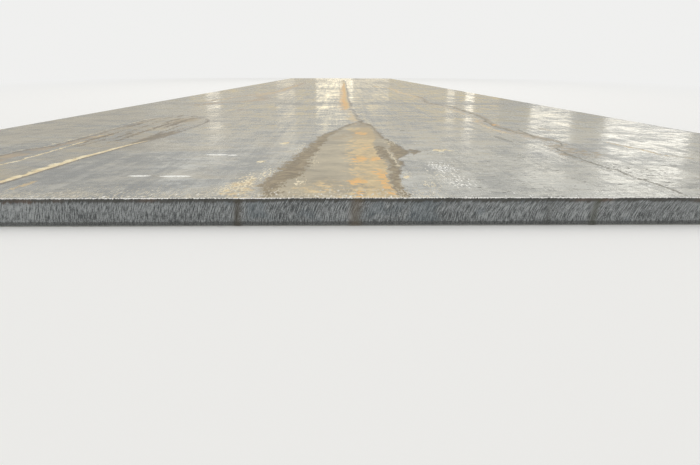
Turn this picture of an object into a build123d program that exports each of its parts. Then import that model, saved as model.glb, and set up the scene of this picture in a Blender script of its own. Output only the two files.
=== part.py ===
from build123d import *
import os

# Hot-rolled steel plate, cut to size by an oxy-fuel torch on all four sides.
# Millimetres. X is the width, Y the rolling direction, Z up. The origin is the
# middle of the underside, and the end at -Y is the one seen in the photograph.

# Cut size, measured over the burr
plate_width = 2000.0
plate_length = 10000.0
plate_thickness = 40.0

# Section of a torch-cut edge, from the top down
arris_radius = 1.2
hollow_height = 4.5
hollow_depth = 0.35
lower_band_height = 6.5
lower_band_depth = 0.2
burr_height = 1.6
burr_reach = 0.6

# Radius left at the plan corners, where two cuts meet
corner_radius = 3.0

# Room beyond the plate for the waste that the torch takes off
waste_margin = 1.0


def edge_section(cut_plane):
    """The waste outside a torch-cut edge, as a face across the cut.

    The plane's x points out of the plate and is 0 on the cut line, and its y is the height. From the
    top down the edge has an arris melted round, a shallow hollow, a flat face, a washed lower band
    and a bead of burr.
    """
    face_x = -burr_reach
    arris_z = plate_thickness - arris_radius
    hollow_z = arris_z - hollow_height
    arris_inner = arris_radius * (1 - 0.5**0.5)

    arris_start = (face_x - arris_radius, plate_thickness)
    arris_middle = (face_x - arris_inner, plate_thickness - arris_inner)
    hollow_top = (face_x, arris_z)
    hollow_middle = (face_x - hollow_depth, (arris_z + hollow_z) / 2)
    hollow_bottom = (face_x, hollow_z)
    band_top = (face_x, lower_band_height)
    band_middle = (face_x - lower_band_depth, (lower_band_height + burr_height) / 2)
    burr_top = (face_x, burr_height)
    burr_middle = (0, burr_height / 2)
    burr_bottom = (face_x, 0)

    with BuildSketch(cut_plane) as section:
        with BuildLine():
            ThreePointArc(arris_start, arris_middle, hollow_top)
            ThreePointArc(hollow_top, hollow_middle, hollow_bottom)
            Line(hollow_bottom, band_top)
            ThreePointArc(band_top, band_middle, burr_top)
            ThreePointArc(burr_top, burr_middle, burr_bottom)
            Polyline(
                burr_bottom,
                (face_x, -waste_margin),
                (waste_margin, -waste_margin),
                (waste_margin, plate_thickness + waste_margin),
                (face_x - arris_radius, plate_thickness + waste_margin),
                arris_start,
            )
        make_face()
    return section.sketch


def steel_plate():
    """The rolled plate with the waste of the torch cut taken off all round."""
    outline = RectangleRounded(plate_width, plate_length, corner_radius)
    cut_line = outline.wire()
    travel = cut_line % 0
    cut_plane = Plane(origin=cut_line @ 0, x_dir=travel.cross(Vector(0, 0, 1)), z_dir=-travel)
    waste = sweep(edge_section(cut_plane), path=cut_line)
    return extrude(outline, amount=plate_thickness) - waste


os.makedirs("parts", exist_ok=True)
export_step(steel_plate(), "parts/steel_plate.step")
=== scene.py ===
import math

import bpy
import numpy as np
from mathutils import Matrix, Vector


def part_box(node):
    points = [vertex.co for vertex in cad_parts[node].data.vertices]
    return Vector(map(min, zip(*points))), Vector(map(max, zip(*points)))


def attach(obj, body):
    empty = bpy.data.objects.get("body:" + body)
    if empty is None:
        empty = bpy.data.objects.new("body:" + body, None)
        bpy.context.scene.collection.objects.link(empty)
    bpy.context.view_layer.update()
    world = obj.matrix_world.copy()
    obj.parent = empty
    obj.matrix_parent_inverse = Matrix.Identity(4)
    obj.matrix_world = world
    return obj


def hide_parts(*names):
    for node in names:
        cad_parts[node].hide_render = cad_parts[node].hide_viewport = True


# A hot-rolled steel plate with mill scale, rust stains and torch-cut edges, lying on a pale floor.
# Metres. The near end is at -Y. Sizes given in millimetres are written with MM. Marks on the rolled
# faces are placed in plain millimetres, from the near end and from the centreline.

MM = 0.001
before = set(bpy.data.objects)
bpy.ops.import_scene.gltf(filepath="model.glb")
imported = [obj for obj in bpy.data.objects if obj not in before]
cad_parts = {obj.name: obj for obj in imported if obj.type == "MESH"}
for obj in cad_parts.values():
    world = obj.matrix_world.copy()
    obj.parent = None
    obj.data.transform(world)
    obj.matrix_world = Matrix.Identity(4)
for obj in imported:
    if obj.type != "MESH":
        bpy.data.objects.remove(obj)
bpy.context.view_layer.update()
plate_low, plate_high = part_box("steel_plate")
half_width = (plate_high[0] - plate_low[0]) / 2
half_length = (plate_high[1] - plate_low[1]) / 2
thickness = plate_high[2] - plate_low[2]
near_end = -half_length
random = np.random.default_rng(40)


def rgb(red, green, blue):
    return (red, green, blue, 1.0)


# Section of the cut edge, as in the solid
arris_radius = 1.2 * MM
hollow_height = 4.5 * MM
hollow_depth = 0.35 * MM
lower_band_height = 6.5 * MM
lower_band_depth = 0.2 * MM
burr_height = 1.6 * MM
burr_reach = 0.6 * MM
corner_radius = 3.0 * MM

# Relief of the torch's drag lines: pitch, depth, spread of widths and crests, the columns of one line
# and their heights, and how far the lines trail behind the torch at the foot of the cut
drag_pitch = 2.7 * MM
drag_depth = 0.22 * MM
drag_widths = (0.65, 1.5)
drag_crests = (0.45, 1.0)
drag_shares = (0.0, 0.4, 0.75)
drag_heights = (0.0, 0.6, 1.0)
mean_ridge = 0.5
drag_curve = 1.8
drag_lag_start = 5.0 * MM
drag_lag_end = 19.0 * MM
drag_lag_gain = 1.6
drag_lag_hold = 0.35
drag_lag_fade = 60.0 * MM

# Cuts that are never seen close up: the spacing and ridge heights of their columns. Then the columns
# round a corner.
side_column = 34.0 * MM
far_column = 4.0 * MM
plain_ridges = (0.2, 0.8)
corner_columns = 6

# Unevenness of the burr, as two waves in radians per metre
burr_fullness = 0.75
burr_waves = (410.0, 97.0)
burr_wave_shift = 1.3

# Rows of the section: angles round the arris in degrees, and shares of the height of each other part
arris_turns = (0.0, 30.0, 60.0, 90.0)
hollow_shares = (0.33, 0.67, 1.0)
face_shares = (0.15, 0.35, 0.6, 0.8, 1.0)
band_shares = (0.5, 1.0)
burr_shares = (0.25, 0.5, 0.75, 1.0)

# Rows where the section turns sharply: the arris's top, the burr's top and its foot
ARRIS_ROW = 0
BURR_ROW = len(arris_turns + hollow_shares + face_shares + band_shares) - 1
FOOT_ROW = BURR_ROW + len(burr_shares)

# Share of the drag lines' depth that shows on each part
arris_relief = 0.35
arris_relief_gain = 0.4
hollow_relief = 0.9
face_relief = 1.0
face_relief_loss = 0.3
band_relief = 0.4
burr_relief = 0.15

# Material slots
NEAR_TOP, FAR_TOP, UNDERSIDE, CUT_EDGE = range(4)

# Rolled faces: their grids inside a rim, and the hollows in the top as waves along, across and in phase
cap_inset = 30.0 * MM
inner_x = half_width - cap_inset
inner_y = half_length - cap_inset
top_cell = 50.0 * MM
bottom_cell = 120.0 * MM
wave_count = 14
wave_slope = 0.0013
wave_offset = 0.4 * MM
wave_fade = 260.0 * MM
wave_draw = np.random.default_rng(7)
wave_ranges = ((8.0, 30.0), (-6.0, 6.0), (0.0, 2 * math.pi))
waves = np.column_stack([wave_draw.uniform(*between, wave_count) for between in wave_ranges])

# How far the near part of the top goes. One material for all the top's marks is too large to render.
near_reach = 1.35

# The photograph's camera, from a fit to the plate's edges: angles in radians, lens in millimetres
camera_place = (-0.0131, -5.6743, 0.2076)
camera_pitch = 0.31154
camera_yaw = 0.019576
camera_roll = 0.0027608
camera_lens = 26.0
camera_sensor = 36.0
camera_clip = (0.05, 500.0)

# Floor: its reach, and the distances from the plate between which it fades into the background
floor_reach = 400.0
floor_lit = 0.7
floor_fade = 4.5
floor_colour = rgb(0.93, 0.93, 0.925)

# Surround as the camera sees it, as the plate mirrors it, and as a light
background_colour = rgb(0.87, 0.87, 0.86)
horizon_colour = rgb(0.455, 0.4, 0.265)
horizon_reach = 0.2
mirrored_colour = rgb(0.84, 0.84, 0.83)
zenith_colour = rgb(0.62, 0.65, 0.68)
sky_light = rgb(0.62, 0.62, 0.61)

# The softbox above the plate
overhead_place = (0, 0, 7.0)
overhead_size = (8.0, 14.0)
overhead_radiance = 0.9
overhead_tint = (1.0, 0.98, 0.95)

# Low softboxes that the top mirrors: name, azimuth, elevation, width and height in degrees,
# brightness, tint
panel_distance = 20.0
panels = [
    ("right_narrow", 22.3, 5.5, 4.0, 4.4, 1.05, (1.0, 0.98, 0.92)),
    ("right_wide", 31.1, 7.0, 7.2, 6.4, 1.03, (0.99, 0.99, 0.98)),
    ("far_glow", 0.5, 2.7, 34.0, 4.4, 0.25, (1.0, 0.75, 0.34)),
    ("far_middle", -0.6, 2.3, 4.0, 4.2, 1.08, (1.0, 0.92, 0.72)),
    ("strip_a", -13.6, 3.4, 1.4, 3.4, 0.85, (1.0, 0.97, 0.9)),
    ("strip_b", -5.9, 3.2, 1.9, 3.0, 0.45, (1.0, 0.95, 0.85)),
    ("strip_c", 3.2, 1.9, 4.2, 2.2, 0.5, (1.0, 0.96, 0.87)),
    ("strip_d", 12.0, 2.6, 0.8, 3.2, 0.7, (1.0, 0.97, 0.9)),
    ("strip_e", 14.0, 3.1, 0.9, 4.2, 0.95, (1.0, 0.98, 0.94)),
    ("high", 8.0, 14.5, 62.0, 11.0, 0.27, (0.96, 1.0, 1.0)),
]

# Steel's shader: tint at glancing angles, index of refraction, a faint dusty sheen, and bump heights
glancing_tint = rgb(1.0, 0.978, 0.925)
steel_ior = 1.5
sheen_weight = 0.12
sheen_roughness = 0.4
sheen_tint = rgb(1.0, 0.86, 0.62)
scale_bump = 0.14 * MM
cut_bump = 0.12 * MM

# Bare mill scale, at its darkest and palest
scale_dark = rgb(0.175, 0.188, 0.196)
scale_pale = rgb(0.345, 0.35, 0.34)

# Kinds of mark, lowest first: dark and pale colour, roughness, metal share, the mottling that breaks it
# up and by how much, density, opacity
coats = [
    ("haze", (0.235, 0.2, 0.145), (0.36, 0.315, 0.23), 0.32, 0.4, "texture", 1.2, 1.0, 0.5),
    ("film", (0.255, 0.209, 0.135), (0.45, 0.375, 0.235), 0.42, 0.3, "texture", 1.2, 1.2, 0.85),
    ("blue", (0.11, 0.125, 0.145), (0.18, 0.195, 0.21), 0.26, 0.4, "texture", 1.6, 0.9, 0.7),
    ("dull", (0.12, 0.115, 0.105), (0.2, 0.19, 0.17), 0.42, 0.2, "texture", 1.6, 0.9, 0.65),
    ("veil", (0.3, 0.225, 0.145), (0.52, 0.385, 0.24), 0.5, 0.1, "texture", 2.8, 0.9, 0.7),
    ("gold", (0.54, 0.41, 0.22), (0.85, 0.63, 0.31), 0.6, 0.05, "ragged", 2.4, 0.95, 0.68),
    ("umber", (0.2, 0.15, 0.085), (0.4, 0.305, 0.18), 0.5, 0.15, "ragged", 2.6, 0.9, 0.75),
    ("rim", (0.12, 0.088, 0.045), (0.33, 0.255, 0.15), 0.56, 0.1, "ragged", 2.8, 1.05, 0.9),
    ("chalk", (0.62, 0.5, 0.3), (0.92, 0.82, 0.6), 0.6, 0.0, "grain", 3.0, 0.6, 0.9),
    ("olive", (0.11, 0.1, 0.07), (0.17, 0.155, 0.11), 0.5, 0.1, "ragged", 2.6, 0.95, 0.8),
    ("brown", (0.095, 0.072, 0.046), (0.18, 0.14, 0.095), 0.5, 0.05, "ragged", 2.4, 0.95, 0.8),
    ("tan", (0.76, 0.6, 0.34), (0.95, 0.85, 0.6), 0.7, 0.0, "ragged", 1.8, 1.1, 0.95),
    ("orange", (0.7, 0.5, 0.25), (0.9, 0.5, 0.17), 0.8, 0.0, "ragged", 2.6, 0.95, 0.8),
    ("tick", (0.06, 0.058, 0.052), (0.11, 0.105, 0.09), 0.55, 0.2, "ragged", 1.2, 0.9, 0.8),
    ("pit", (0.045, 0.043, 0.04), (0.08, 0.075, 0.062), 0.6, 0.2, "grain", 3.0, 0.6, 0.85),
    # pale is near-white: bright scrapes, pale grit at the near cut, and painted glints in its patches on
    # the near top.
    ("pale", (0.9, 0.9, 0.87), (0.98, 0.98, 0.96), 0.4, 0.7, "grain", 2.2, 0.9, 0.95),
]

# Routes of the marks on the top: distance from the near end and place from the centreline
left_rim_outer = [
    (0, -690), (369, -704), (444, -698), (538, -673), (695, -674), (845, -682), (1105, -688),
    (1240, -640)
]
left_rim_inner = [
    (0, -655), (287, -652), (409, -647), (573, -641), (717, -652), (871, -663), (1105, -672),
    (1240, -622)
]
left_cream = [(0, -645), (262, -638), (332, -628), (466, -632), (560, -633)]
left_line = [
    (0, -535), (93, -533), (192, -527), (291, -523), (398, -512), (481, -504), (610, -480), (782, -467),
    (1006, -459), (1110, -470), (1190, -520)
]
left_line_width = [(0, 30), (260, 29), (400, 24), (480, 16), (600, 5)]
band_outer = [
    (0, -135), (81, -130), (132, -122), (253, -121), (302, -113), (363, -108), (458, -96), (574, -87),
    (703, -65), (789, -35), (932, 2), (1084, 54), (1110, 60)
]
band_inner = [
    (0, -107), (65, -96), (128, -87), (157, -77), (218, -71), (334, -70), (404, -64), (470, -61),
    (587, -51), (661, -43), (737, -26), (889, 5), (1042, 54), (1110, 66)
]
barb_outer = [
    (200, 91), (242, 100), (281, 108), (313, 102), (342, 111), (380, 124), (414, 132), (451, 131),
    (507, 122), (565, 113), (641, 104), (730, 100), (862, 92), (969, 83), (1084, 57)
]
barb_inner = [
    (200, 87), (242, 97), (307, 97), (368, 96), (429, 92), (497, 99), (583, 98), (661, 93), (797, 87),
    (918, 78), (1084, 40)
]
stem_left = [
    (0, 69), (48, 67), (127, 70), (168, 72), (199, 69), (232, 76), (263, 78), (307, 74), (342, 69),
    (394, 64), (481, 64), (500, 72)
]
stem_right = [
    (0, 82), (61, 84), (159, 89), (203, 91), (242, 92), (284, 90), (342, 88), (394, 88), (489, 84),
    (500, 76)
]
tip_left = [(374, 136), (394, 132), (451, 137)]
tip_right = [(374, 140), (400, 152), (414, 160), (430, 150), (451, 140)]
orange_edge = [
    (0, 66), (48, 67), (97, 66), (185, 66), (242, 72), (355, 66), (481, 65), (641, 78), (800, 82),
    (870, 74)
]
roof_left = [(640, -44), (714, -14), (809, 21), (870, 46), (1084, 52)]
centre_streak = [(1110, 56), (1480, 42), (1850, 39), (2820, 42), (4000, 46), (6300, 60), (8200, 50)]
left_streak = [
    (1980, -699), (2150, -607), (2244, -488), (2447, -461), (2944, -545), (3437, -522), (4346, -491),
    (6246, -486)
]
left_fork = [(2250, -740), (2552, -690), (2801, -643), (3092, -602), (3400, -560)]
right_streak = [
    (640, 500), (906, 472), (1173, 497), (1438, 519), (1722, 519), (1930, 488), (2089, 454), (2842, 491),
    (3482, 462), (4404, 470), (4694, 374), (6800, 330)
]
right_line = [
    (55, 477), (95, 478), (154, 472), (190, 473), (216, 467), (315, 466), (435, 467), (556, 515),
    (656, 504), (814, 512)
]
red_line = [(328, 697), (353, 677), (386, 663), (435, 665), (470, 659), (556, 648)]

# Ragged patches on the near part of the top: middle, reaches along and across, strength
near_patches = {
    "umber": [(1130, -545, 110, 42, 1.0), (430, 500, 160, 50, 0.7), (850, 600, 70, 26, 0.7)],
    "olive": [(640, 402, 80, 10, 0.8), (815, 170, 16, 12, 0.9)],
    "gold": [
        (690, -640, 60, 22, 0.8), (90, -492, 40, 8, 0.8), (80, -158, 110, 30, 0.7),
        (70, -45, 80, 60, 0.62)
    ],
    "chalk": [
        (95, -158, 100, 26, 1.0), (170, -136, 90, 18, 0.8), (60, -178, 40, 22, 0.9),
        (95, -76, 40, 12, 1.0), (470, -104, 90, 12, 0.6), (300, -60, 120, 10, 0.5),
        (560, 108, 50, 18, 0.8), (150, 104, 40, 10, 0.8), (80, 128, 50, 24, 0.6),
        (150, 165, 110, 40, 0.5)
    ],
    "orange": [(965, 490, 50, 20, 0.6)],
    "pit": [(200, 500, 90, 60, 0.5), (250, 185, 70, 40, 0.5), (330, 470, 60, 50, 0.5)],
    # The pale patches are painted glints: near-white specks where the top mirrors bright light.
    "pale": [(230, 170, 80, 36, 0.55), (110, 470, 80, 50, 0.36), (120, 175, 80, 40, 0.45)],
    "blue": [
        (380, -178, 26, 44, 0.7), (455, -150, 60, 30, 0.7), (520, -225, 40, 40, 0.7),
        (210, -215, 90, 50, 0.7), (760, -610, 60, 30, 0.7), (600, -600, 40, 30, 0.7),
        (180, -460, 50, 50, 0.7)
    ],
}

# Rust inside the centre stain, in the same way
orange_patches = [
    (755, 46, 45, 34, 0.85), (330, 28, 50, 24, 0.95), (335, 56, 34, 12, 0.8), (120, 60, 110, 16, 1.0),
    (110, 16, 34, 20, 0.95), (34, 15, 22, 9, 0.7), (200, 52, 40, 16, 0.6), (500, 44, 90, 30, 0.4)
]

# Short straight pits and scrapes: place and half width, and the reach along the plate of each kind
pit_length = 5
pits = [
    (366, 590, 36), (300, 611, 12), (244, 587, 10), (387, 170, 6), (387, 203, 7), (270, 165, 14),
    (240, 190, 10), (120, 210, 10), (100, 505, 14), (75, 490, 12), (155, 515, 26)
]
scrape_length = 9
scrapes = [(375, -268, 30), (370, -235, 12), (152, -285, 34), (156, -345, 24)]

# Pale yellow specks: places, and their reaches along and across
specks = [(296, -164), (547, -146), (436, 199), (440, 214), (430, 228), (143, 98)]
speck_reach = (14, 11)

# Grit along the near cut
grit_reach = 120.0 * MM

# Stains of standing water: start, end, middle and greatest half width, and how the half width changes
# from start to end. It is below 0 at both ends, so that the outline closes.
lens_shape = [
    (0.0, -1.0), (0.02, 0.0), (0.12, 0.5), (0.35, 1.0), (0.62, 0.85), (0.86, 0.45), (0.98, 0.0),
    (1.0, -1.0)
]
top_lenses = [
    (3900, 5400, -700, 110),
    (5300, 7600, 560, 150),
    (6500, 8700, -330, 140),
    (8300, 10400, 290, 170),
    (8700, 10300, -640, 140),
]
underside_lenses = [
    (-300, 1300, 330, 170),
    (-200, 900, -480, 130),
    (1900, 3500, -120, 160),
    (4200, 5600, 520, 140),
    (6100, 7900, -430, 180),
    (8700, 10300, 160, 200),
]

# Bands across the rolled faces: start, end, strength
top_bands = [(1960, 2110, 0.8), (4050, 4450, 0.7)]
underside_bands = [(1150, 1260, 0.8), (3700, 3800, 0.6), (6250, 6350, 0.7), (8800, 8900, 0.8)]

# Stripes of stain run down the near cut: place from the centreline, half width, colour, strength
stain_stripes = [
    (-154.0, 9.0, rgb(0.08, 0.068, 0.05), 0.7),
    (10.0, 14.0, rgb(0.17, 0.125, 0.075), 0.5),
    (280.0, 8.0, rgb(0.08, 0.08, 0.07), 0.35),
    (345.0, 9.0, rgb(0.08, 0.082, 0.058), 0.65),
]


def smooth(share):
    """A share held between 0 and 1 and eased at both ends."""
    share = np.clip(share, 0, 1)
    return share * share * (3 - 2 * share)


def bulge(share):
    """0 at both ends of a hollow and 1 in its middle."""
    return 1 - (2 * share - 1) ** 2


def edge_rows():
    """Rows of the cut edge from the top down: height, set-back from the outline, and relief."""
    rows = []
    for turn in arris_turns:
        height = thickness - arris_radius * (1 - math.cos(math.radians(turn)))
        inset = burr_reach + arris_radius * (1 - math.sin(math.radians(turn)))
        rows.append((height, inset, arris_relief + arris_relief_gain * turn / 90))
    hollow_top = thickness - arris_radius
    for share in hollow_shares:
        inset = burr_reach + hollow_depth * bulge(share)
        rows.append((hollow_top - hollow_height * share, inset, hollow_relief))
    face_top = hollow_top - hollow_height
    for share in face_shares:
        height = face_top + (lower_band_height - face_top) * share
        rows.append((height, burr_reach, face_relief - face_relief_loss * share))
    for share in band_shares:
        height = lower_band_height + (burr_height - lower_band_height) * share
        rows.append((height, burr_reach + lower_band_depth * bulge(share), band_relief))
    for share in burr_shares:
        inset = burr_reach * (1 - math.sin(math.pi * share))
        rows.append((burr_height * (1 - share), inset, burr_relief))
    return np.array(rows)


def drag_columns(length):
    """Columns along a cut with three to each drag line: place along the cut and ridge height, 0 to 1."""
    places = []
    ridges = []
    start = 0.0
    while start < length - drag_pitch:
        width = drag_pitch * random.uniform(*drag_widths)
        crest = random.uniform(*drag_crests)
        places += [start + share * width for share in drag_shares]
        ridges += [height * crest for height in drag_heights]
        start += width
    return np.array(places) * (length / start), np.array(ridges)


def plain_columns(length, spacing):
    """Evenly spaced columns with a random ridge height, for a cut that is never seen close up."""
    count = round(length / spacing)
    return np.arange(count) * (length / count), random.uniform(*plain_ridges, count)


def outline_ring():
    """The columns all round the plate, anticlockwise from the near end's left corner."""
    inner = np.array([half_width - corner_radius, half_length - corner_radius])
    sides = [
        ((-1, -1), (1, 0), 2 * inner[0], "near"),
        ((1, -1), (0, 1), 2 * inner[1], "right"),
        ((1, 1), (-1, 0), 2 * inner[0], "far"),
        ((-1, 1), (0, -1), 2 * inner[1], "left"),
    ]
    ring = {"place": [], "out": [], "along": [], "line": [], "ridge": [], "lag": []}
    travelled = 0.0
    for corner, along, length, name in sides:
        along = np.array(along, float)
        out = np.array([along[1], -along[0]])
        start = np.array(corner) * inner
        if name == "near":
            places, ridges = drag_columns(length)
        else:
            places, ridges = plain_columns(length, far_column if name == "far" else side_column)
        count = len(places)
        share = places / length
        growth = np.clip(drag_lag_gain * share - drag_lag_hold, 0, 1)
        lag = drag_lag_start + (drag_lag_end - drag_lag_start) * growth
        lag = lag * smooth(np.minimum(places, length - places) / drag_lag_fade)
        ring["place"] += list(start + np.outer(places, along) + corner_radius * out)
        ring["out"] += [out] * count
        ring["along"] += [along] * count
        ring["line"] += list(travelled + places)
        ring["ridge"] += list(ridges)
        ring["lag"] += list(lag if name in ("near", "far") else lag * 0)
        travelled += length
        end = start + along * length
        turn_start = math.atan2(out[1], out[0])
        for step in range(corner_columns):
            angle = turn_start + math.pi / 2 * step / corner_columns
            normal = np.array([math.cos(angle), math.sin(angle)])
            ring["place"].append(end + corner_radius * normal)
            ring["out"].append(normal)
            ring["along"].append(np.array([-normal[1], normal[0]]))
            ring["line"].append(travelled + corner_radius * math.pi / 2 * step / corner_columns)
            ring["ridge"].append(mean_ridge)
            ring["lag"].append(0.0)
        travelled += corner_radius * math.pi / 2
    return {name: np.array(values) for name, values in ring.items()}


def edge_vertices(ring, rows):
    """Vertices of the cut edge, row by row: the section swept round the outline with its drag lines."""
    count = len(ring["line"])
    face_height = thickness - arris_radius
    swell = np.sin(ring["line"] * burr_waves[0]) * np.sin(ring["line"] * burr_waves[1] + burr_wave_shift)
    burr_swell = burr_fullness + (1 - burr_fullness) * swell
    vertices = []
    for row, (height, inset, relief) in enumerate(rows):
        fall = np.clip((face_height - height) / (face_height - lower_band_height), 0, 1)
        lag = ring["lag"] * (1 - (1 - fall) ** drag_curve)
        cut = drag_depth * relief * (mean_ridge - ring["ridge"])
        if row > BURR_ROW:
            cut = cut + (burr_reach - inset) * (1 - burr_swell)
        depth = np.maximum(inset + cut, 0)
        across = ring["place"] - ring["out"] * depth[:, None] - ring["along"] * lag[:, None]
        vertices.append(np.column_stack([across, np.full(count, height)]))
    return np.concatenate(vertices)


def top_wave(x, y):
    """Hollows of a few tenths of a millimetre in the rolled top, none above the flat."""
    rise = sum(
        wave_slope / along * np.sin(along * y + across * x + phase) for along, across, phase in waves
    )
    edge = np.minimum(half_width - np.abs(x), half_length - np.abs(y)) - cap_inset
    return np.minimum(rise - wave_offset, 0) * smooth(edge / wave_fade)


def cap_grid(cell, height, wave):
    """A grid over a rolled face, inside its rim: vertices, and the index of each grid point."""
    xs = np.linspace(-inner_x, inner_x, round(2 * inner_x / cell) + 1)
    ys = np.linspace(-inner_y, inner_y, round(2 * inner_y / cell) + 1)
    grid_x, grid_y = np.meshgrid(xs, ys)
    rise = wave(grid_x, grid_y) if wave else np.zeros_like(grid_x)
    vertices = np.column_stack([grid_x.ravel(), grid_y.ravel(), (height + rise).ravel()])
    return vertices, np.arange(grid_x.size).reshape(grid_x.shape)


def rim_place(points):
    """How far round the grid's rectangle each point of a loop lies, from the near left corner."""
    x = np.clip(points[:, 0], -inner_x, inner_x)
    y = np.clip(points[:, 1], -inner_y, inner_y)
    sides = [y <= -inner_y, x >= inner_x, y >= inner_y]
    lengths = [x + inner_x, 2 * inner_x + y + inner_y, 3 * inner_x + 2 * inner_y - x]
    return np.select(sides, lengths, 4 * inner_x + 3 * inner_y - y)


def zip_loops(outer, outer_at, inner, inner_at, whole):
    """Triangles between two closed loops of vertices that run the same way round."""
    outer = list(outer) + [outer[0]]
    inner = list(inner) + [inner[0]]
    outer_at = list(outer_at) + [whole]
    inner_at = list(inner_at) + [whole]
    triangles = []
    a = 0
    b = 0
    while a < len(outer) - 1 or b < len(inner) - 1:
        outer_next = a < len(outer) - 1 and (b == len(inner) - 1 or outer_at[a + 1] <= inner_at[b + 1])
        if outer_next:
            triangles.append((outer[a], outer[a + 1], inner[b]))
            a += 1
        else:
            triangles.append((outer[a], inner[b + 1], inner[b]))
            b += 1
    return triangles


def cap_faces(grid, ring_indices, vertices, facing_up):
    """The faces of a rolled face: the grid's squares and the triangles out to the cut edge."""
    squares = np.stack([grid[:-1, :-1], grid[:-1, 1:], grid[1:, 1:], grid[1:, :-1]], axis=-1).reshape(-1, 4)
    loop = np.concatenate([grid[0, :-1], grid[:-1, -1], grid[-1, :0:-1], grid[:0:-1, 0]])
    whole = 4 * (inner_x + inner_y)
    outer_at = rim_place(vertices[ring_indices])
    last_corner = np.arange(len(outer_at)) > len(outer_at) - corner_columns - 2
    outer_at = np.where(last_corner, whole, outer_at)
    triangles = zip_loops(ring_indices, outer_at, loop, rim_place(vertices[loop]), whole)
    faces = [tuple(face) for face in squares] + triangles
    return faces if facing_up else [face[::-1] for face in faces]


def sharpen_rows(mesh, row_of):
    """Marks as sharp the mesh edges that run along one of the section's sharp rows."""
    ends = np.zeros(2 * len(mesh.edges), np.int32)
    mesh.edges.foreach_get("vertices", ends)
    rows = row_of[ends.reshape(-1, 2)]
    along_row = rows[:, 0] == rows[:, 1]
    sharp = mesh.attributes.new("sharp_edge", "BOOLEAN", "EDGE")
    sharp.data.foreach_set("value", along_row & np.isin(rows[:, 0], (ARRIS_ROW, BURR_ROW, FOOT_ROW)))


def plate_mesh():
    """The whole plate as one closed mesh: cut edge all round, rolled top and underside."""
    rows = edge_rows()
    ring = outline_ring()
    count = len(ring["line"])
    edge = edge_vertices(ring, rows)
    top, top_grid = cap_grid(top_cell, thickness, top_wave)
    bottom, bottom_grid = cap_grid(bottom_cell, 0.0, None)
    top_grid = top_grid + len(edge)
    bottom_grid = bottom_grid + len(edge) + len(top)
    vertices = np.concatenate([edge, top, bottom])

    index = np.arange(len(edge)).reshape(len(rows), count)
    following = np.roll(index, -1, axis=1)
    edge_faces = np.stack([index[:-1], index[1:], following[1:], following[:-1]], axis=-1).reshape(-1, 4)
    top_faces = cap_faces(top_grid, index[0], vertices, True)
    bottom_faces = cap_faces(bottom_grid, index[-1], vertices, False)

    mesh = bpy.data.meshes.new("steel_plate_rolled")
    faces = [tuple(face) for face in edge_faces] + top_faces + bottom_faces
    mesh.from_pydata(vertices.tolist(), [], faces)
    middles = np.array([vertices[list(face), 1].mean() for face in top_faces])
    top_slots = np.where(middles < near_end + near_reach, NEAR_TOP, FAR_TOP)
    edge_slots = np.full(len(edge_faces), CUT_EDGE)
    slots = np.concatenate([edge_slots, top_slots, np.full(len(bottom_faces), UNDERSIDE)])
    mesh.polygons.foreach_set("material_index", slots.astype(np.int32))
    mesh.polygons.foreach_set("use_smooth", np.ones(len(faces), bool))

    row_of = np.full(len(vertices), -1)
    row_of[: len(edge)] = np.repeat(np.arange(len(rows)), count)
    sharpen_rows(mesh, row_of)
    spare = len(vertices) - len(edge)
    for name in ("line", "ridge"):
        values = np.concatenate([np.tile(ring[name], len(rows)), np.zeros(spare)])
        layer = mesh.attributes.new(name, "FLOAT", "POINT")
        layer.data.foreach_set("value", values.astype(np.float32))
    mesh.update()
    return mesh


class Field:
    """A number, vector or colour that varies over a surface, with arithmetic that makes nodes."""

    def __init__(self, sheet, socket):
        self.sheet = sheet
        self.socket = socket

    def __add__(self, other):
        return self.sheet.math("ADD", self, other)

    def __sub__(self, other):
        return self.sheet.math("SUBTRACT", self, other)

    def __rsub__(self, other):
        return self.sheet.math("SUBTRACT", other, self)

    def __mul__(self, other):
        return self.sheet.math("MULTIPLY", self, other)

    def __truediv__(self, other):
        return self.sheet.math("DIVIDE", self, other)

    def plus(self, other, times):
        """This value and a number of times another."""
        return self.sheet.math("MULTIPLY_ADD", other, times, self)

    def magnitude(self):
        return self.sheet.math("ABSOLUTE", self)

    def least(self, other):
        return self.sheet.math("MINIMUM", self, other)

    def most(self, other):
        return self.sheet.math("MAXIMUM", self, other)

    def ramp(self, start, end, low=0.0, high=1.0):
        """A smooth step from low, where this value is start, to high, where it is end."""
        inputs = {"Value": self, "From Min": start, "From Max": end, "To Min": low, "To Max": high}
        return self.sheet.node("MapRange", inputs, interpolation_type="SMOOTHSTEP")


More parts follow.
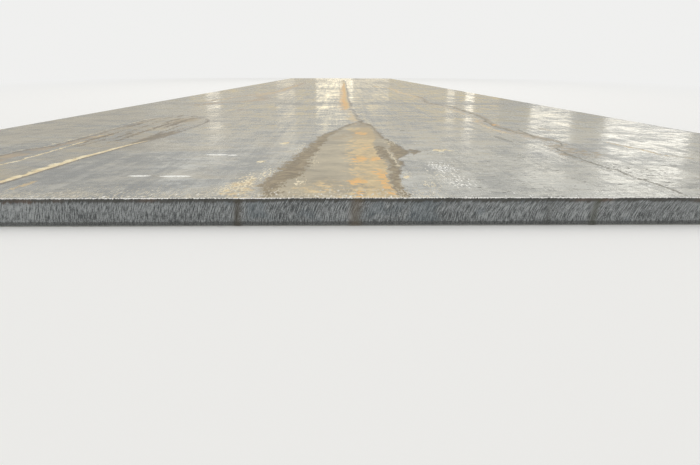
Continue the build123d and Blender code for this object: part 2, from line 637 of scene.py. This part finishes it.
class Sheet:
    """The nodes of a material or world under construction, and the coordinates that they start from."""

    def __init__(self, owner, coordinates="Object"):
        owner.use_nodes = True
        self.owner = owner
        self.tree = owner.node_tree
        self.tree.nodes.clear()
        self.place = self.node("TexCoord", {}, output=coordinates)
        parts = self.new("SeparateXYZ")
        self.feed(parts.inputs[0], self.place)
        self.x, self.y, self.z = (Field(self, socket) for socket in parts.outputs)

    def feed(self, socket, value):
        if isinstance(value, Field):
            self.tree.links.new(value.socket, socket)
        else:
            socket.default_value = value

    def new(self, kind):
        return self.tree.nodes.new("ShaderNode" + kind)

    def node(self, kind, inputs, output=0, **settings):
        made = self.new(kind)
        for name, value in settings.items():
            setattr(made, name, value)
        for name, value in inputs.items():
            self.feed(made.inputs[name], value)
        return Field(self, made.outputs[output])

    def end(self, kind, surface):
        """Makes a shader the result of the whole tree, and returns the material or world."""
        made = self.new(kind)
        self.feed(made.inputs["Surface"], surface)
        return self.owner

    def math(self, operation, first, second=0.0, third=0.0):
        return self.node("Math", {0: first, 1: second, 2: third}, operation=operation)

    def vector(self, x, y, z):
        return self.node("CombineXYZ", {0: x, 1: y, 2: z})

    def length(self, vector):
        return self.node("VectorMath", {0: vector}, output="Value", operation="LENGTH")

    def moved(self, vector, scale, shift):
        """A vector stretched by a scale in each direction, then shifted."""
        return self.node("VectorMath", {0: vector, 1: scale, 2: shift}, operation="MULTIPLY_ADD")

    def attribute(self, name):
        return self.node("Attribute", {}, output="Fac", attribute_name=name)

    def ray(self, kind):
        """1 for rays of one kind, named as the Light Path node does, and 0 for the rest."""
        return self.node("LightPath", {}, output=kind)

    def noise(self, scale, detail, roughness, stretch=(1, 1, 1), shift=0.0, at=None):
        """Noise about 0.5, with features about 1 / scale metres across."""
        moved = self.moved(at or self.place, stretch, (shift, shift * 0.7, shift * 0.3))
        inputs = {"Vector": moved, "Scale": scale, "Detail": detail, "Roughness": roughness}
        return self.node("TexNoise", inputs)

    def curve(self, value, points):
        """A smooth curve through points of value and result."""
        starts, results = zip(*points, strict=True)
        base = min(results)
        span = max(results) - base
        reach = starts[-1] - starts[0]
        inputs = {"Value": value, "From Min": starts[0], "From Max": starts[-1]}
        share = self.node("MapRange", inputs, clamp=False)
        made = self.new("FloatCurve")
        made.mapping.extend = "HORIZONTAL"
        line = made.mapping.curves[0]
        while len(line.points) < len(points):
            line.points.new(0.5, 0.5)
        for point, start, result in zip(line.points, starts, results, strict=True):
            point.location = ((start - starts[0]) / reach, (result - base) / span)
            point.handle_type = "AUTO_CLAMPED"
        made.mapping.update()
        self.feed(made.inputs["Value"], share)
        return self.math("MULTIPLY_ADD", Field(self, made.outputs[0]), span, base)

    def mix(self, share, first, second):
        """First colour where share is 0, second where it is 1."""
        return self.node("Mix", {0: share, 6: first, 7: second}, output=2, data_type="RGBA")

    def blend(self, share, first, second):
        """The same for plain numbers."""
        return self.node("Mix", {0: share, 2: first, 3: second})

    def steel(self, colour, roughness, metallic, height, bump):
        """The finished material. A height shapes its light, and 1 of it stands for bump metres."""
        inputs = {
            "Base Color": colour,
            "Roughness": roughness,
            "Metallic": metallic,
            "Normal": self.node("Bump", {"Height": height, "Strength": 1.0, "Distance": bump}),
            "IOR": steel_ior,
            "Specular Tint": glancing_tint,
            "Sheen Weight": sheen_weight,
            "Sheen Roughness": sheen_roughness,
            "Sheen Tint": sheen_tint,
        }
        return self.end("OutputMaterial", self.node("BsdfPrincipled", inputs))


class Face:
    """A rolled face being coloured: its coordinates in millimetres and the share of each kind of mark.

    A kind's share is 0 away from its marks and about 1 in the middle of a strong one.
    """

    def __init__(self, name, shift):
        self.sheet = Sheet(bpy.data.materials.new(name))
        self.shift = shift
        self.drift = self.noise(8.0, 3.0, 0.6)
        self.ragged = self.noise(55.0, 5.0, 0.72, shift=3.1)
        self.grain = self.noise(270.0, 2.0, 0.7, (1, 0.3, 1), 6.4)
        self.texture = self.noise(9.0, 8.0, 0.72, (1, 1.4, 1), 12.0)
        self.clouds = self.noise(1.7, 5.0, 0.6, (1, 0.7, 1), 9.0)
        self.strokes = self.noise(1.0, 4.0, 0.65, (50, 1.2, 1), 18.0)
        self.smudge = self.noise(7.0, 3.0, 0.6, (1, 1.3, 1), 15.0)
        self.ripple = self.noise(1.0, 4.0, 0.65, (11, 24, 1), 24.0)
        self.wander = (self.clouds - 0.5) * 500.0
        self.fray = (self.drift - 0.5) * 40.0 + (self.ragged - 0.5) * 70.0 + (self.grain - 0.5) * 30.0
        self.plain_across = self.sheet.x / MM
        self.plain_along = (self.sheet.y + half_length) / MM
        self.across = self.plain_across.plus(self.fray, 0.3)
        self.along = self.plain_along.plus(self.ragged - 0.5, 110.0)
        self.flat = self.sheet.vector(self.along, self.across, 0.0)
        self.plain_flat = self.sheet.vector(self.plain_along, self.plain_across, 0.0)
        self.patch_fray = (self.drift - 0.5) * 1.5
        self.dash_fray = (self.grain - 0.5) * 1.6
        self.shares = {}

    def noise(self, scale, detail, roughness, stretch=(1, 1, 1), shift=0.0):
        return self.sheet.noise(scale, detail, roughness, stretch, self.shift + shift)

    def add(self, kind, share):
        self.shares[kind] = share.most(self.shares[kind]) if kind in self.shares else share

    def curve(self, points):
        """A value that follows points of distance along the plate and value."""
        return self.sheet.curve(self.along, points)

    def flow(self, offset, width, length):
        """Noise drawn out along a route: width and length of its lines in millimetres."""
        at = self.sheet.vector(offset / width, self.along / length, self.shift)
        return self.sheet.noise(1.0, 3.0, 0.6, at=at)

    def span(self, start, end, fade=50.0, wander=0.0):
        """1 from start to end along the plate, fading beyond them."""
        along = self.along.plus(self.wander, wander) if wander else self.along
        return along.ramp(start - fade, start) * along.ramp(end + fade, end)

    def route(self, points, fray=0.0, fade=50.0, wander=0.0):
        """How far to the right of a route a place is, and the share of the route's length."""
        across = self.across.plus(self.fray, fray) if fray else self.across
        across = across.plus(self.wander, wander) if wander else across
        return across - self.curve(points), self.span(points[0][0], points[-1][0], fade)

    def line(self, kind, route, left, right, strength=1.0, shift=0.0):
        """A mark on a route, or beside it by shift, with its own fade to each side."""
        offset, span = route
        rise = offset.ramp(shift - left, shift, 0.0, strength)
        self.add(kind, rise * offset.ramp(shift + right, shift) * span)

    def area(self, kind, left_route, right_route, soft, strength=1.0):
        """A mark that fills the width between two routes."""
        inside = left_route[0].ramp(-soft * 0.4, soft * 0.6, 0.0, strength)
        inside = inside * right_route[0].ramp(soft * 0.4, -soft * 0.6)
        self.add(kind, inside * left_route[1] * right_route[1])

    def away(self, flat, along, across, reach_along, reach_across):
        """How far a place is from the middle of an oval, where 1 is the oval's edge."""
        scale = (1 / reach_along, 1 / reach_across, 0.0)
        shift = (-along / reach_along, -across / reach_across, 0.0)
        return self.sheet.length(self.sheet.moved(flat, scale, shift))

    def patch(self, kind, along, across, reach_along, reach_across, strength):
        """A ragged oval."""
        away = self.away(self.flat, along, across, reach_along, reach_across)
        self.add(kind, (away + self.patch_fray).ramp(1.3, 0.3, 0.0, strength))

    def dash(self, kind, along, across, reach_along, reach_across):
        """A straight short stroke."""
        away = self.away(self.plain_flat, along, across, reach_along, reach_across)
        self.add(kind, (away + self.dash_fray).ramp(1.2, 0.5))

    def tint(self, share, first, second, roughness, metallic, mottling):
        """Lays a pigment, mottled between two colours, over the finish so far."""
        pigment = self.sheet.mix(mottling.ramp(0.35, 0.65), first, second)
        self.colour = self.sheet.mix(share, self.colour, pigment)
        self.roughness = self.sheet.blend(share, self.roughness, roughness)
        self.metallic = self.sheet.blend(share, self.metallic, metallic)


def right_half(face):
    """1 on the right half of the plate."""
    return face.across.ramp(110, 190)


def left_stain(face):
    """The long stain that leaves the near end on the left, with a yellow line along its inner side."""
    outer = face.route(left_rim_outer, 0.3)
    inner = face.route(left_rim_inner)
    line = face.route(left_line)
    face.area("film", outer, line, 30, 0.47)
    face.area("veil", outer, inner, 20, 0.9)
    face.line("brown", outer, 8, 16, 0.85, 6)
    face.line("brown", line, 3, 14, 0.9)
    face.line("brown", (line[0], face.span(620, 1240)), 14, 22, 0.8)
    yellow = (line[0] + 4, face.span(-60, 560, 60))
    face.line("tan", yellow, face.curve(left_line_width), 3, 1.1)
    face.line("gold", (line[0], line[1] * face.span(-60, 760)), 40, 6, 0.6)
    face.line("tan", face.route(left_cream), 8, 5, 0.85)
    face.line("tan", outer, 8, 4, 0.6, -6)
    flow = face.flow(outer[0], 20, 420)
    tip = (outer[0], face.span(560, 1240, 150))
    face.area("umber", tip, (line[0], flow.ramp(0.49, 0.56)), 20, 0.9)
    face.area("brown", tip, (line[0], flow.ramp(0.53, 0.57)), 14, 1.1)


def centre_stain(face):
    """The pointed stain in the middle of the near end: a brown band on its left, a barb on its right."""
    outer = face.route(band_outer, 0.8)
    inner = face.route(band_inner, 0.9)
    stem = face.route(stem_left, 0.25)
    face.area("film", outer, face.route(stem_right), 20, 1.0)
    face.area("rim", outer, inner, 16, 1.0)
    face.line("brown", face.route(band_outer, 0.4), 5, 9, 0.6, 5)
    face.line("brown", (outer[0], face.span(760, 1110, 60)), 7, 9, 0.95)
    face.area("umber", face.route(roof_left, 0.5), face.route(barb_outer, 0.3), 20, 0.7)
    face.area("rim", stem, face.route(stem_right, 0.5), 6, 1.0)
    face.line("brown", stem, 3, 12, 0.6, 2)
    face.area("rim", face.route(barb_inner, 0.2), face.route(barb_outer, 0.4), 5, 1.0)
    face.line("brown", face.route(barb_outer, 0.4), 8, 3, 0.8, -1)
    face.area("rim", face.route(tip_left, 0.3, 14), face.route(tip_right, 0.3, 14), 4, 1.0)
    face.line("chalk", (face.route(barb_inner)[0], face.span(245, 430)), 6, 4, 1.0, -3)
    face.area("film", outer, face.route(barb_outer), 20)
    edge = face.route(orange_edge, 0.35)
    face.add("gold", edge[0].ramp(-96, -30) * edge[0].ramp(3, -3) * edge[1])
    for patch in orange_patches:
        face.patch("orange", *patch)
    face.shares["orange"] = face.shares["orange"] * edge[0].ramp(4, -2)


def right_marks(face):
    """Thin lines, dark patches and scattered pits on the right of the near end."""
    line = face.route(right_line, 0.1)
    face.line("olive", line, 5, 6, 1.5)
    face.line("umber", (line[0], face.span(300, 820)), 46, 10, 0.7)
    red = face.route(red_line)
    face.line("brown", red, 3, 4, 0.85)
    face.line("gold", red, 14, 6, 0.8, -4)
    ticks = face.noise(1.0, 2, 0.6, (60, 210, 1), 21)
    face.add("tick", ticks.ramp(0.62, 0.68) * face.span(20, 420, 200) * right_half(face))
    for along, across, width in pits:
        face.dash("pit", along, across, pit_length, width)


def long_streaks(face):
    """The two streaks that start near the stains and run most of the plate's length."""
    streak = face.route(centre_streak, 0.5, 300)
    face.line("gold", streak, 60, 8, face.clouds.ramp(0.36, 0.5, 0.5, 1.2), -10)
    face.line("brown", streak, 8, 11, 1.1)
    streak = face.route(right_streak, 0.6, 100, 0.1)
    face.line("veil", streak, 60, 34, 0.6, -10)
    face.line("gold", (streak[0], face.span(800, 1700, 200)), 40, 10, 0.7, -20)
    face.line("umber", (streak[0], face.span(640, 2800, 300)), 26, 32, 0.95, 12)
    face.line("olive", (streak[0], face.span(800, 2300, 200)), 9, 9, 1.4, 6)


def far_streaks(face):
    """Streaks and rust on the far part of the top alone."""
    streak = face.route(centre_streak, 1.0)
    uneven = face.clouds.ramp(0.36, 0.52, 0.35, 0.85)
    face.line("gold", (streak[0], face.span(1800, 7800, 900)), 120, 10, uneven, -12)
    face.line("orange", (streak[0], face.span(1900, 5600, 600)), 44, 12, 1.15, -20)
    streak = face.route(right_streak, 0.6, 100, 0.1)
    face.line("gold", (streak[0], face.span(2700, 4900, 400)), 70, 40, 0.95)
    streak = face.route(left_streak, 1.0, 250, 0.25)
    face.line("veil", streak, 120, 110, 0.95)
    face.line("umber", (streak[0], face.span(1900, 2700, 200)), 60, 60, 0.7, -20)
    face.line("gold", (streak[0], face.span(3000, 5200, 400)), 40, 40, 0.8)
    streak = face.route(left_fork, 1.0, 200, 0.25)
    face.line("veil", streak, 60, 50, 0.9)
    face.line("gold", streak, 30, 26, 0.7)
    face.patch("veil", 1584, -439, 110, 44, 0.8)


def scuffs(face):
    """Bright scrapes and a few pale yellow specks."""
    for along, across, width in scrapes:
        face.dash("pale", along, across, scrape_length, width)
    for along, across in specks:
        face.patch("tan", along, across, *speck_reach, 0.9)


def near_edge_grit(face):
    """Pale and dark grit on the last centimetres before the near cut."""
    near = face.sheet.y.ramp(near_end + grit_reach, near_end)
    face.add("chalk", near * right_half(face).ramp(1.0, 0.0, 0.0, 0.75))
    face.add("pale", near * 0.3)
    face.add("pit", near * 0.5)


def lens_stains(face, stains, strength):
    """Pointed ovals left by standing water: a thin film, a brown rim and a paler line inside it."""
    across = face.across.plus(face.fray, 1.2).plus(face.wander, 0.5)
    away = None
    for start, end, middle, reach in stains:
        half = face.curve([(start + (end - start) * share, reach * wide) for share, wide in lens_shape])
        beyond = (across - middle).magnitude() - half
        away = beyond.least(away) if away else beyond
    face.add("film", away.ramp(14, -50, 0.0, strength))
    face.add("umber", away.ramp(18, 0, 0.0, strength * 0.8) * away.ramp(-40, -8))
    face.add("brown", away.ramp(7, 0, 0.0, strength * 0.6) * away.ramp(-9, -3))
    face.add("gold", away.ramp(-14, -26, 0.0, strength * 0.4) * away.ramp(-58, -34))


def cross_bands(face, bands, wander):
    """Dull, darker bands across the plate."""
    for start, end, strength in bands:
        face.add("dull", face.span(start, end, 60, wander) * face.smudge.ramp(0.25, 0.55, 0.0, strength))


def near_marks(face):
    """Marks on the near part of the top, where the photograph shows them."""
    left_stain(face)
    centre_stain(face)
    right_marks(face)
    long_streaks(face)
    scuffs(face)
    near_edge_grit(face)
    for kind, patches in near_patches.items():
        for patch in patches:
            face.patch(kind, *patch)


def far_marks(face):
    """Marks on the far part of the top: the photograph's streaks, and stains too far off for it to show."""
    long_streaks(face)
    far_streaks(face)
    lens_stains(face, top_lenses, 0.5)
    cross_bands(face, top_bands, 0.3)


def underside_marks(face):
    """Stains and dull bands on the underside."""
    lens_stains(face, underside_lenses, 0.5)
    cross_bands(face, underside_bands, 0.15)


def lay_scale(face):
    """Bare mill scale: blue-grey, half metallic and mottled, and freshest on the right of the near end."""
    sheet = face.sheet
    ripple = (face.ripple - 0.5) * sheet.y.ramp(near_end, near_end + 0.9, 0.1, 1.0)
    fresh = sheet.x.ramp(0.0, 0.35, 0.0, 0.045) * sheet.y.ramp(near_end + 1.3, near_end + 0.2)
    tone = fresh + face.clouds * 0.17 + face.smudge * 0.17 + face.texture * 0.29 + face.ragged * 0.11
    tone = (tone + face.strokes * 0.13 + ripple * 0.16).ramp(0.375, 0.495)
    shine = (face.texture * 0.6 + face.ragged * 0.4).plus(ripple, 0.45).plus(face.strokes - 0.5, 0.35)
    face.colour = sheet.mix(tone, scale_dark, scale_pale)
    face.roughness = sheet.blend(shine.ramp(0.62, 0.4), 0.09, 0.3)
    face.metallic = sheet.blend(tone, 0.36, 1.0)


def lay_coats(face):
    """The pigment of each kind of mark on the face, broken up by its mottling."""
    mottles = {"texture": face.texture, "ragged": face.ragged, "grain": face.grain}
    for kind, first, second, roughness, metallic, mottle, broken, density, cover in coats:
        if kind in face.shares:
            share = face.shares[kind]
            mottling = mottles[mottle]
            patchy = (share * density).plus(mottling - 0.5, broken).ramp(0.4, 0.8, 0.0, cover)
            share = patchy * share.ramp(0.0, 0.15)
            face.tint(share, rgb(*first), rgb(*second), roughness, metallic, mottling)


def rolled_face(name, shift, marks):
    """The material of a rolled face: mill scale, a haze that is thickest on the left, and its marks."""
    face = Face(name, shift)
    sheet = face.sheet
    marks(face)
    leftward = sheet.x.ramp(0.4, -0.4, 0.06, 1.0)
    face.add("haze", leftward * (face.clouds * 0.7 + face.smudge * 0.3).ramp(0.38, 0.62))
    smudges = face.smudge.ramp(0.5, 0.34) * face.clouds.ramp(0.6, 0.4)
    face.add("blue", smudges * sheet.x.ramp(0.3, -0.1, 0.35, 0.7))
    lay_scale(face)
    lay_coats(face)
    ripple_height = face.ripple * sheet.y.ramp(near_end + 0.9, near_end + 2.4, 9.0, 3.5)
    height = face.grain * 0.8 + face.ragged * 0.5 + face.texture * 0.9 + ripple_height
    return sheet.steel(face.colour, face.roughness, face.metallic, height, scale_bump)


def cut_face(name):
    """The torch-cut edge: oxide grey with paler drag lines, a brown band at the top, a near-white line
    along the top arris that is bare metal and painted highlight, and a painted highlight on the burr.
    """
    sheet = Sheet(bpy.data.materials.new(name))
    ridge = sheet.attribute("ridge")
    line = sheet.attribute("line")
    flow = sheet.vector(line, sheet.z, 0.0)
    fine = sheet.noise(1.0, 1.0, 0.5, (860, 95, 1), 3.0, flow)
    clump = sheet.noise(1.0, 1.0, 0.5, (240, 45, 1), 7.0, flow)
    broad = sheet.noise(9.0, 3.0, 0.6, (1, 1, 1), 11.0, flow)
    speck = sheet.noise(850.0, 1.0, 0.5)
    pale = fine * 2.3 + ridge * 0.25 + clump * 0.35 + broad * 0.7 + speck * 1.1
    face = sheet.mix(pale.ramp(1.75, 2.85), rgb(0.08, 0.087, 0.09), rgb(0.43, 0.45, 0.455))
    hue = sheet.noise(22.0, 2.0, 0.5, (1, 1, 1), 15.0, flow)
    face = sheet.mix(hue.ramp(0.54, 0.66) * 0.35, face, rgb(0.15, 0.19, 0.215))

    height = sheet.z / MM
    foot = burr_height / MM
    washed = lower_band_height / MM
    top = thickness / MM
    low_band = (height + (clump - 0.5) * 3.0).ramp(washed + 1.0, washed - 0.7)
    low = sheet.mix(speck.ramp(0.4, 0.75), rgb(0.08, 0.085, 0.084), rgb(0.19, 0.195, 0.19))
    face = sheet.mix(low_band * 0.8, face, low)
    ragged = height + (clump - 0.5) * 7.0 + (speck - 0.5) * 7.0 + (broad - 0.5) * 5.0
    top_band = ragged.ramp(top - 7.4, top - 4.4)
    rust = sheet.mix(broad.ramp(0.5, 0.64), rgb(0.07, 0.068, 0.06), rgb(0.15, 0.09, 0.06))
    face = sheet.mix(top_band * 0.88, face, rust)
    # Painted highlight: a paler band on the burr at the foot of the cut, where the bead's top would catch
    # light from above.
    face = sheet.mix(height.ramp(foot + 0.1, foot - 0.7) * 0.8, face, rgb(0.42, 0.42, 0.39))

    near = sheet.y.ramp(near_end + 0.03, near_end + 0.01)
    x = (sheet.x * 0.7 + (line - half_width) * 0.3) / MM
    for place, width, stain, share in stain_stripes:
        away = (x - place + (speck - 0.5) * 10.0).magnitude()
        face = sheet.mix(away.ramp(width, width * 0.1) * near * share, face, stain)

    # Near-white line along the top arris: partly bare metal where the scale has flaked, partly a painted
    # highlight that widens the arris's glint.
    wear_and_glint_height = height + (fine - 0.5) * 4.0 + (speck - 0.5) * 2.4 + (broad - 0.5) * 3.0
    bare_and_glint = wear_and_glint_height.ramp(top - 1.1, top - 0.4)
    face = sheet.mix(bare_and_glint, face, rgb(0.88, 0.86, 0.82))
    roughness = sheet.blend(bare_and_glint, 0.6, 0.35)
    metallic = sheet.blend(bare_and_glint, 0.35, 0.9)
    return sheet.steel(face, roughness, metallic, fine, cut_bump)


def add_object(name, data):
    made = bpy.data.objects.new(name, data)
    bpy.context.scene.collection.objects.link(made)
    return made


def build_plate():
    """The rolled mesh with its four materials, in the order of the slots, in place of the solid."""
    mesh = plate_mesh()
    plate = add_object("steel_plate_rolled", mesh)
    mesh.materials.append(rolled_face("mill_scale_near", 0.0, near_marks))
    mesh.materials.append(rolled_face("mill_scale_far", 0.0, far_marks))
    mesh.materials.append(rolled_face("mill_scale_underside", 40.0, underside_marks))
    mesh.materials.append(cut_face("torch_cut_edge"))
    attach(plate, "root")
    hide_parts("steel_plate")


def add_camera():
    """The photograph's viewpoint, just above the near end and looking along the plate."""
    flat = math.cos(camera_pitch)
    forward = Vector((math.sin(camera_yaw) * flat, math.cos(camera_yaw) * flat, -math.sin(camera_pitch)))
    level = Vector((math.cos(camera_yaw), -math.sin(camera_yaw), 0.0))
    upright = level.cross(forward)
    right = math.cos(camera_roll) * level + math.sin(camera_roll) * upright
    up = math.cos(camera_roll) * upright - math.sin(camera_roll) * level
    data = bpy.data.cameras.new("camera")
    data.lens = camera_lens
    data.sensor_width = camera_sensor
    data.clip_start, data.clip_end = camera_clip
    camera = add_object("camera", data)
    turn = Matrix((right, up, -forward)).transposed()
    camera.matrix_world = Matrix.Translation(camera_place) @ turn.to_4x4()
    bpy.context.scene.camera = camera


def add_floor():
    """A pale floor that keeps the plate's shadow and runs out into the background."""
    reach = floor_reach
    corners = [(-reach, -reach, 0), (reach, -reach, 0), (reach, reach, 0), (-reach, reach, 0)]
    mesh = bpy.data.meshes.new("floor")
    mesh.from_pydata(corners, [], [(0, 1, 2, 3)])
    floor = add_object("floor", mesh)
    sheet = Sheet(bpy.data.materials.new("floor"))
    beside = (sheet.x.magnitude() - half_width).most(0.0)
    beyond = (sheet.y.magnitude() - half_length).most(0.0)
    away = sheet.length(sheet.vector(beside, beyond, 0.0)).ramp(floor_lit, floor_fade)
    seen = sheet.ray("Is Camera Ray").most(sheet.ray("Is Glossy Ray"))
    lit = sheet.node("BsdfDiffuse", {"Color": floor_colour})
    pale = sheet.node("Emission", {"Color": background_colour, "Strength": 1.0})
    both = sheet.node("MixShader", {0: away * seen, 1: lit, 2: pale})
    mesh.materials.append(sheet.end("OutputMaterial", both))


def add_world():
    """An even surround: pale where it is seen, warmer low down where it is mirrored, soft as a light."""
    sheet = Sheet(bpy.data.worlds.new("world"), "Generated")
    high = sheet.mix(sheet.z, mirrored_colour, zenith_colour)
    mirrored = sheet.mix(sheet.z.ramp(0.0, horizon_reach), horizon_colour, high)
    unseen = sheet.mix(sheet.ray("Is Glossy Ray"), sky_light, mirrored)
    seen = sheet.mix(sheet.ray("Is Camera Ray"), unseen, background_colour)
    background = sheet.node("Background", {"Color": seen})
    bpy.context.scene.world = sheet.end("OutputWorld", background)


def add_softbox(name, place, aim, width, height, radiance, tint):
    """A rectangular lamp of a given brightness, turned to face a point."""
    data = bpy.data.lights.new(name, "AREA")
    data.shape = "RECTANGLE"
    data.size = width
    data.size_y = height
    data.energy = radiance * math.pi * width * height
    data.color = tint
    lamp = add_object(name, data)
    lamp.location = place
    lamp.rotation_mode = "QUATERNION"
    lamp.rotation_quaternion = (Vector(aim) - Vector(place)).to_track_quat("-Z", "Y")
    lamp.visible_camera = False


def add_panel(name, azimuth, elevation, wide, high, radiance, tint):
    """A low softbox far off, placed by the angles, in degrees, at which the camera sees it in the plate."""
    turn = math.radians(azimuth)
    x = camera_place[0] + panel_distance * math.sin(turn)
    y = camera_place[1] + panel_distance * math.cos(turn)
    z = 2 * thickness - camera_place[2] + panel_distance * math.tan(math.radians(elevation))
    width = panel_distance * math.radians(wide)
    height = panel_distance * math.radians(high)
    add_softbox(name, (x, y, z), (0, near_end, z), width, height, radiance, tint)


build_plate()
add_camera()
add_floor()
add_world()
add_softbox("overhead", overhead_place, (0, 0, 0), *overhead_size, overhead_radiance, overhead_tint)
for panel in panels:
    add_panel(*panel)
bpy.context.scene.view_settings.view_transform = "Standard"
